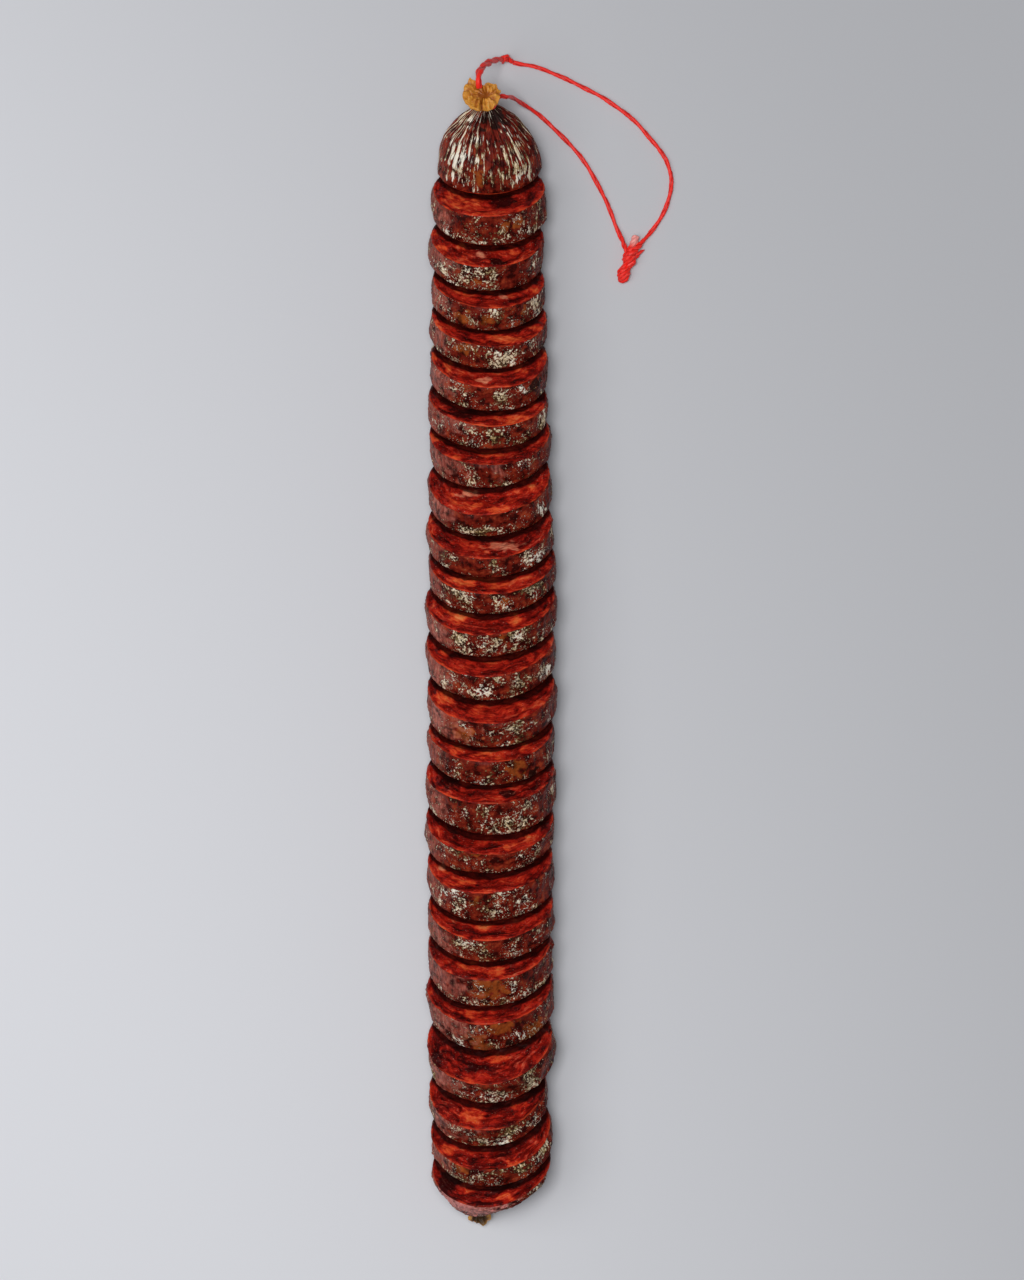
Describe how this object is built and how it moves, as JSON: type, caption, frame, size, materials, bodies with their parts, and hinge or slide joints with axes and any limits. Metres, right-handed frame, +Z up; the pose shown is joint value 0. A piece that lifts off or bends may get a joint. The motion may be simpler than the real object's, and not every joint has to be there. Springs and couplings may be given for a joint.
{
  "type": "chorizo",
  "caption": "Cured chorizo sausage cut into thick slices that lean on each other and keep its shape, with a pleated tied end, gathered casing and a red hanging string.",
  "frame": {"origin": "on the surface it rests on, below the middle of the sausage's box without its string", "axes": "+Y along the sausage towards its tied end, +Z up"},
  "size_m": [0.0987, 0.4667, 0.0444],
  "materials": {
    "sausage": "cured paprika meat, deep red and satin on the cut faces with orange and pinkish fat; burgundy wrinkled casing with amber patches and cream powdery mould outside",
    "casing": "dried amber casing, crumpled, half clear and satin",
    "string": "bright red twisted string with a soft gloss"
  },
  "bodies": {
    "root": {"end_cap": "sausage", "slice_01": "sausage", "slice_02": "sausage", "slice_03": "sausage", "slice_04": "sausage", "slice_05": "sausage", "slice_06": "sausage", "slice_07": "sausage", "slice_08": "sausage", "slice_09": "sausage", "slice_10": "sausage", "slice_11": "sausage", "slice_12": "sausage", "slice_13": "sausage", "slice_14": "sausage", "slice_15": "sausage", "slice_16": "sausage", "slice_17": "sausage", "slice_18": "sausage", "slice_19": "sausage", "slice_20": "sausage", "slice_21": "sausage", "slice_22": "sausage", "slice_23": "sausage", "tail_end": "sausage", "casing_tuft": "casing", "casing_tail": "casing", "neck_tie": "string", "string_shank": "string", "string_hitch": "string", "string_long": "string", "string_short": "string", "string_knot": "string"}
  },
  "joints": []
}
